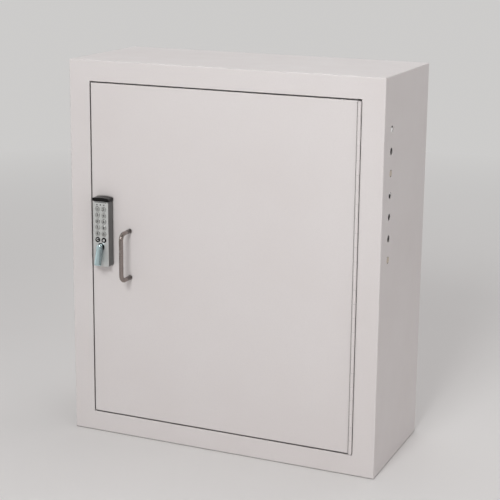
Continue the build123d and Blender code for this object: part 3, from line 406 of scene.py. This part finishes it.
def bridge(mesh, lower, upper):
    """Faces between two rings of vertices; a ring of one vertex is a point."""
    count = max(len(lower), len(upper))
    for i in range(count):
        j = (i + 1) % count
        corners = [lower[i % len(lower)], lower[j % len(lower)], upper[j % len(upper)], upper[i % len(upper)]]
        corners = list(dict.fromkeys(corners))
        if len(corners) > 2:
            mesh.faces.new(corners)


def loft(mesh, rings, place):
    """Skin over rings of points, each joined to the next; a ring of one point closes an end."""
    placed = [[mesh.verts.new(place @ Vector(point)) for point in ring] for ring in rings]
    for lower, upper in zip(placed, placed[1:]):
        bridge(mesh, lower, upper)
    return placed


def around(steps):
    """Angles of one full turn in equal steps."""
    return [math.tau * i / steps for i in range(steps)]


def polar(reach, turn, level):
    """Point at a reach and an angle round local +Z."""
    return reach * math.cos(turn), reach * math.sin(turn), level


def circle(radius, level, steps):
    """Ring of points round local +Z, or one point where the radius is 0."""
    return [polar(radius, turn, level) for turn in around(steps if radius else 1)]


def turned(mesh, profile, place, steps=48):
    """Shape turned about local +Z from (radius, height) points; a radius of 0 closes an end."""
    loft(mesh, [circle(radius, height, steps) for radius, height in profile], place)


def rounded(corner, radius, facets=5):
    """Quarter circle of a profile's outer corner: corner is the (radius, height) it cuts off."""
    reach, height = corner
    quarter = [math.pi / 2 * i / facets for i in range(facets + 1)]
    return [
        (reach - radius + radius * math.cos(t), height - radius + radius * math.sin(t))
        for t in quarter
    ]


def facing_front(x, y, z):
    """Local +Z to the front (-Y), from a point in metres; local lengths are millimetres."""
    turn = Matrix(((1, 0, 0, x), (0, 0, -1, y), (0, 1, 0, z), (0, 0, 0, 1)))
    return turn @ Matrix.Scale(MM, 4)


def facing_back(x, y, z):
    """Local +Z to the rear (+Y), from a point in metres; local lengths are millimetres."""
    turn = Matrix(((-1, 0, 0, x), (0, 0, 1, y), (0, 1, 0, z), (0, 0, 0, 1)))
    return turn @ Matrix.Scale(MM, 4)


def middle(node):
    """Centre of a CAD node's box, in metres."""
    low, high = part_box(node)
    return (Vector(low) + Vector(high)) / 2


# ------------------------------------------------------------------ case
CASE_WALLS = ("left_side_panel", "top_panel", "right_side_panel", "bottom_panel")


def on_mitre(face, middle_height):
    """Whether a face of a wall lies in the mitre that the walls share at a corner of the case."""
    centre = face.calc_center_median()
    corner = math.copysign(1, centre.x * (centre.z - middle_height))
    return abs(face.normal.y) < MITRE_LEAN and face.normal.x * face.normal.z * corner < -MITRE_LEAN


def case_shell():
    """The four walls as one skin: their mitres are welded and ground flush, so no seam shows."""
    mesh = bmesh.new()
    for name in CASE_WALLS:
        wall = nodes[name].data
        corners = [mesh.verts.new(vertex.co) for vertex in wall.vertices]
        for polygon in wall.polygons:
            mesh.faces.new([corners[i] for i in polygon.vertices])
    mesh.normal_update()
    middle_height = (cad_low[2] + cad_high[2]) / 2
    inner = [face for face in mesh.faces if on_mitre(face, middle_height)]
    bmesh.ops.delete(mesh, geom=inner, context="FACES")
    bmesh.ops.remove_doubles(mesh, verts=mesh.verts, dist=SKIN_MERGE * MM)
    shell = piece("case_shell", mesh, CASE_WALLS[0], stands_for=CASE_WALLS)
    shell.data.set_sharp_from_angle(angle=math.radians(CASE_SHARP))
    flats = shell.modifiers.new("flats", "WEIGHTED_NORMAL")
    flats.keep_sharp = True


case_shell()


# ------------------------------------------------------------------ lock cover
def cap_shadow_line():
    """Dark strip across the cover, just below the cap: a painted shadow of the cap's lower edge, made as a
    filled line.
    """
    low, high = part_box("lock_face")
    centre = (low[0] + high[0]) / 2
    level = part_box("lock_cap")[0][2] - LINE_BELOW_CAP * MM
    half = (high[0] - low[0]) / 2 - LINE_INSET * MM
    tip = LINE_HALF * MM
    outline = [(-half, -tip), (half, -tip), (half + tip, 0), (half, tip), (-half, tip), (-half - tip, 0)]
    rings = [[(centre + x, low[1] + y * MM, level + z) for x, z in outline] for y in LINE_LEVELS]
    mesh = bmesh.new()
    for end in loft(mesh, rings, Matrix.Identity(4)):
        mesh.faces.new(end)
    # dark ink strip as painted shadow under the cap
    piece("cap_shadow_line", mesh, "lock_face", smooth=False, finish=LEGENDS["key_chrome"])


cap_shadow_line()


# ------------------------------------------------------------------ keys and their legends
def key_button(index):
    """Turned button with a dished face and, on it, its legend."""
    node = f"key_{index + 1}"
    low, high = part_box(node)
    centre = middle(node)
    length = (high[1] - low[1]) / MM
    seat = length - KEY_FLANGE_SEAT
    profile = [(0, 0), (KEY_STEM, 0), (KEY_STEM, seat), (KEY_FLANGE, seat)]
    profile += [(KEY_FLANGE, seat + KEY_FLANGE_THICK), (KEY_BUTTON, seat + KEY_FLANGE_THICK)]
    profile += rounded((KEY_BUTTON, length), KEY_EDGE)
    profile += [(radius, length - depth) for radius, depth in KEY_DISH_PROFILE]
    mesh = bmesh.new()
    turned(mesh, profile, facing_front(centre.x, high[1], centre.z))
    button = piece(f"{node}_button", mesh, node, stands_for=(node,))
    button.modifiers.new("bends", "BEVEL").width = KEY_BEND * MM
    floor_of_dish = low[1] + KEY_DISH * MM
    legend(node, LEGEND_TEXT[index], (centre.x, floor_of_dish - LEGEND_STAND * MM, centre.z))


def legend(node, text, place):
    """Printed sign on a key, from Blender's own font."""
    curve = bpy.data.curves.new(f"{node}_legend", "FONT")
    curve.body = text
    curve.size = LEGEND_SIZE * MM
    curve.offset = LEGEND_BOLDER * MM
    curve.extrude = LEGEND_THICK * MM
    curve.align_x = "CENTER"
    curve.align_y = "CENTER"
    curve.materials.append(LEGENDS[slot_of[node]])
    sign = bpy.data.objects.new(f"{node}_legend", curve)
    bpy.context.scene.collection.objects.link(sign)
    sign.location = place
    sign.rotation_euler = (math.pi / 2, 0, 0)
    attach(sign, body_of[node])


for key_index in range(KEY_COUNT):
    key_button(key_index)


# ------------------------------------------------------------------ knob
def squared(value):
    """Sine or cosine bent so that a circle drawn with them becomes a rounded square."""
    return math.copysign(abs(value) ** (2 / KNOB_SQUARENESS), value)


def knob_ring(level, half_width, rear, front, points=32):
    """One level cut through the knob: a rounded rectangle."""
    centre, reach = (front + rear) / 2, (front - rear) / 2
    return [
        (half_width * squared(math.cos(turn)), level, centre + reach * squared(math.sin(turn)))
        for turn in around(points)
    ]


def knob():
    """Lever knob: round over the spindle, then swept forward and a little wider to its tip."""
    door_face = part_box("door_panel")[0][1]
    axis = middle("lock_spindle")
    rings = [knob_ring(*level) for level in KNOB_LEVELS]
    mesh = bmesh.new()
    loft(mesh, [[KNOB_TOP], *rings, [KNOB_TIP]], facing_front(axis.x, door_face, axis.z))
    made = piece("knob_lever", mesh, "lock_knob", stands_for=("lock_knob",))
    soften = made.modifiers.new("soften", "SUBSURF")
    soften.levels = 1
    soften.render_levels = 2


knob()


# ------------------------------------------------------------------ handle
def bar_route(low, high, radius):
    """Middle line of the handle's bar as points in its own plane: foot, bend, grip, bend, foot."""
    bend = HANDLE_BEND * MM
    grip = low[1] + radius
    end = high[1] - HANDLE_FOOT_GAP * MM
    foot_low, foot_high = low[2] + radius, high[2] - radius
    route = [(end, foot_low)]
    for centre_z, start in ((foot_low + bend, -90), (foot_high - bend, 180)):
        for step in range(BEND_STEPS + 1):
            turn = math.radians(start - step * 90 / BEND_STEPS)
            route.append((grip + bend + bend * math.cos(turn), centre_z + bend * math.sin(turn)))
    route.append((end, foot_high))
    return [Vector((0, y, z)) for y, z in route]


def bent_bar():
    """Round bar with two bends, as a tube swept along its route."""
    low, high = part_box("handle")
    radius = HANDLE_ROD / 2 * MM
    points = bar_route(low, high, radius)
    sideways = Vector((1, 0, 0))
    rings = []
    for i, point in enumerate(points):
        ahead = points[min(i + 1, len(points) - 1)] - points[max(i - 1, 0)]
        outward = ahead.normalized().cross(sideways)
        rings.append([
            point + radius * (math.cos(turn) * sideways + math.sin(turn) * outward)
            for turn in around(HANDLE_SIDES)
        ])
    mesh = bmesh.new()
    placed = loft(mesh, rings, Matrix.Translation(((low[0] + high[0]) / 2, 0, 0)))
    mesh.faces.new(placed[0])
    mesh.faces.new(placed[-1])
    piece("handle_bar", mesh, "handle", stands_for=("handle",))


bent_bar()


# ------------------------------------------------------------------ behind the door: screws and spot welds
def cross_reach(turn):
    """Distance from the centre of a cross to its outline, by angle."""
    half, reach = RECESS_ARM
    along, across = abs(math.cos(turn)) + 1e-6, abs(math.sin(turn)) + 1e-6
    return max(min(reach / along, half / across), min(half / along, reach / across))


def pan_screw(mesh, place, tip, steps=48):
    """Pan-head screw with a cross recess: place turns local millimetres, tip is the shank's end."""
    head, height = SCREW_HEAD
    inward, along = SCREW_POINT
    profile = [(0, tip), (SCREW_SHANK - inward, tip), (SCREW_SHANK, tip + along), (SCREW_SHANK, 0), (head, 0)]
    profile += [(head - inset, height - drop) for inset, drop in SCREW_CROWN]
    rings = [circle(radius, level, steps) for radius, level in profile]
    for level, share in ((height, 1.0), (height - RECESS_DEPTH, RECESS_TAPER)):
        rings.append([polar(cross_reach(turn) * share, turn, level) for turn in around(steps)])
    rings.append([(0, 0, height - RECESS_DEPTH - RECESS_POINT)])
    loft(mesh, rings, place)


def door_screws(node, washers):
    """The two screws of a node, on their washers at the back of the door's face."""
    low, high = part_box(washers)
    tip = (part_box(node)[0][1] - high[1]) / MM
    mesh = bmesh.new()
    for z in (low[2] + WASHER * MM, high[2] - WASHER * MM):
        pan_screw(mesh, facing_back(middle(washers).x, high[1], z), tip)
    made = piece(f"{node}_pan_heads", mesh, node, stands_for=(node,))
    made.data.set_sharp_from_angle(angle=math.radians(SCREW_SHARP))


door_screws("handle_screws", "handle_washers")
door_screws("lock_screws", "lock_washers")


def spot_welds():
    """Marks of the spot welds that hold the stiffener's two flanges to the door."""
    low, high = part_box("door_stiffener")
    face = low[1] + STIFFENER_SHEET * MM
    count = int((high[2] - low[2]) / MM / WELD_PITCH)
    first = middle("door_stiffener").z - (count - 1) / 2 * WELD_PITCH * MM
    for side, x in (("hinge_side", high[0] - WELD_INSET * MM), ("lock_side", low[0] + WELD_INSET * MM)):
        mesh = bmesh.new()
        for i in range(count):
            turned(mesh, WELD_PROFILE, facing_back(x, face, first + i * WELD_PITCH * MM), steps=24)
        piece(f"stiffener_welds_{side}", mesh, "door_stiffener")


spot_welds()


# ------------------------------------------------------------------ studio
FLOOR_RADIUS = 30.0
FLOOR_FADE = (0.9, 3.2)     # metres from the middle over which the floor turns into the background
PALE = (0.80, 0.79, 0.78)
BACKDROP = 0.76             # background's level beside the lit floor's
AMBIENT = 0.42
AMBIENT_COLOUR = (1.0, 0.972, 0.975)
DARK_SIDE = (0.75, -0.65, 0.05)     # direction of the room's dark half, which only gloss sees
DARK_FADE = (-0.1, 0.75)    # share of that direction over which the room darkens
DARK_ROOM = (0.13, 0.12, 0.115)
CABINET_MIDDLE = (0.0, 0.0, 0.36)
WIDE = 180                  # a lamp's full spread, degrees
LAMPS = {                   # place, target, diameter, power, colour, spread
    "key": ((0.25, -2.9, 2.3), (0.25, 0.0, 1.0), 1.1, 17.4, (0.99, 1.0, 1.0), 100),
    "fill": ((2.9, -1.9, 1.3), CABINET_MIDDLE, 2.2, 13, (1.0, 0.93, 0.92), WIDE),
    "top": ((0.2, 0.9, 3.0), CABINET_MIDDLE, 2.0, 15, (1.0, 1.0, 1.0), WIDE),
}
CAMERA_AZIMUTH = 23.30
CAMERA_ELEVATION = 13.00
CAMERA_ROLL = 0.59
CAMERA_PLACE = (0.9900, -2.2856, 0.9929)
FRAME_PIXELS = 500
FOCAL_PIXELS = 1357.7
LENS_CENTRE_ROW = 220       # picture row that the lens points at
SENSOR = 36.0


def background_world():
    """Plain pale surroundings that give a soft fill; gloss sees the darker half of the room on the right."""
    world = bpy.data.worlds.new("studio")
    bpy.context.scene.world = world
    world.use_nodes = True
    nodes_of, link = world.node_tree.nodes, world.node_tree.links.new
    nodes_of.clear()

    def background(colour, strength):
        made = nodes_of.new("ShaderNodeBackground")
        made.inputs["Color"].default_value = (*colour, 1)
        made.inputs["Strength"].default_value = strength
        return made

    def mixed(share, first, second):
        made = nodes_of.new("ShaderNodeMixShader")
        link(share, made.inputs["Fac"])
        link(first.outputs[0], made.inputs[1])
        link(second.outputs[0], made.inputs[2])
        return made

    # what gloss sees, by direction
    direction = nodes_of.new("ShaderNodeTexCoord")
    towards = nodes_of.new("ShaderNodeVectorMath")
    towards.operation = "DOT_PRODUCT"
    towards.inputs[1].default_value = DARK_SIDE
    link(direction.outputs["Generated"], towards.inputs[0])
    fade = nodes_of.new("ShaderNodeMapRange")
    fade.inputs["From Min"].default_value, fade.inputs["From Max"].default_value = DARK_FADE
    link(towards.outputs["Value"], fade.inputs["Value"])
    room = nodes_of.new("ShaderNodeMix")
    room.data_type = "RGBA"
    room.inputs[MIX_FIRST].default_value = (*PALE, 1)
    room.inputs[MIX_SECOND].default_value = (*DARK_ROOM, 1)
    link(fade.outputs["Result"], room.inputs["Factor"])
    gloss = background(PALE, 1.0)
    link(room.outputs[MIX_RESULT], gloss.inputs["Color"])

    path = nodes_of.new("ShaderNodeLightPath")
    seen = nodes_of.new("ShaderNodeMath")
    seen.operation = "MAXIMUM"
    link(path.outputs["Is Camera Ray"], seen.inputs[0])
    link(path.outputs["Is Transmission Ray"], seen.inputs[1])
    lit = mixed(path.outputs["Is Glossy Ray"], background(AMBIENT_COLOUR, AMBIENT), gloss)
    shown = mixed(seen.outputs[0], lit, background(PALE, BACKDROP))
    link(shown.outputs[0], nodes_of.new("ShaderNodeOutputWorld").inputs["Surface"])


def floor():
    """Pale floor that keeps the shadow near the cabinet and fades into the background further out."""
    mesh = bmesh.new()
    bmesh.ops.create_circle(mesh, cap_ends=True, segments=96, radius=FLOOR_RADIUS)
    data = bpy.data.meshes.new("floor")
    mesh.to_mesh(data)
    mesh.free()
    ground = bpy.data.objects.new("floor", data)
    bpy.context.scene.collection.objects.link(ground)
    surface = Surface("floor", PALE, roughness=0.9)
    surface.tint(surface.remap(surface.noise(0.5, 2.0), 0.4, 0.7), shade(PALE, 0.98), 0.6)
    length = surface.node("ShaderNodeVectorMath", operation="LENGTH")
    surface.link(surface.place, length.inputs[0])
    far = surface.remap(length.outputs["Value"], *FLOOR_FADE)
    glow = surface.node("ShaderNodeEmission")
    glow.inputs["Color"].default_value = (*PALE, 1)
    glow.inputs["Strength"].default_value = BACKDROP
    mix = surface.node("ShaderNodeMixShader")
    surface.link(far, mix.inputs["Fac"])
    surface.link(surface.shader.outputs["BSDF"], mix.inputs[1])
    surface.link(glow.outputs["Emission"], mix.inputs[2])
    surface.link(mix.outputs["Shader"], surface.tree.nodes["Material Output"].inputs["Surface"])
    data.materials.append(surface.material)


def soft_lamp(name, place, target, diameter, power, colour, spread):
    """Round area lamp, aimed at a target."""
    data = bpy.data.lights.new(name, "AREA")
    data.shape = "DISK"
    data.size = diameter
    data.energy = power
    data.color = colour
    data.spread = math.radians(spread)
    lamp = bpy.data.objects.new(name, data)
    bpy.context.scene.collection.objects.link(lamp)
    lamp.location = place
    lamp.rotation_euler = (Vector(target) - Vector(place)).to_track_quat("-Z", "Y").to_euler()


def camera():
    """Camera of the photograph, from a fit to the cabinet's corners."""
    data = bpy.data.cameras.new("camera")
    data.sensor_width = SENSOR
    data.lens = FOCAL_PIXELS / FRAME_PIXELS * SENSOR
    data.shift_y = -(FRAME_PIXELS / 2 - LENS_CENTRE_ROW) / FRAME_PIXELS
    azimuth, elevation, roll = map(math.radians, (CAMERA_AZIMUTH, CAMERA_ELEVATION, CAMERA_ROLL))
    back = Vector((
        math.sin(azimuth) * math.cos(elevation), -math.cos(azimuth) * math.cos(elevation), math.sin(elevation)
    ))
    level_right = (-back).cross(Vector((0, 0, 1))).normalized()
    level_up = level_right.cross(-back)
    right = math.cos(roll) * level_right + math.sin(roll) * level_up
    up = math.cos(roll) * level_up - math.sin(roll) * level_right
    made = bpy.data.objects.new("camera", data)
    bpy.context.scene.collection.objects.link(made)
    turn = Matrix((right, up, back)).transposed().to_4x4()
    made.matrix_world = Matrix.Translation(CAMERA_PLACE) @ turn
    bpy.context.scene.camera = made


background_world()
floor()
for lamp_name, settings in LAMPS.items():
    soft_lamp(lamp_name, *settings)
camera()
bpy.context.scene.view_settings.view_transform = "Standard"
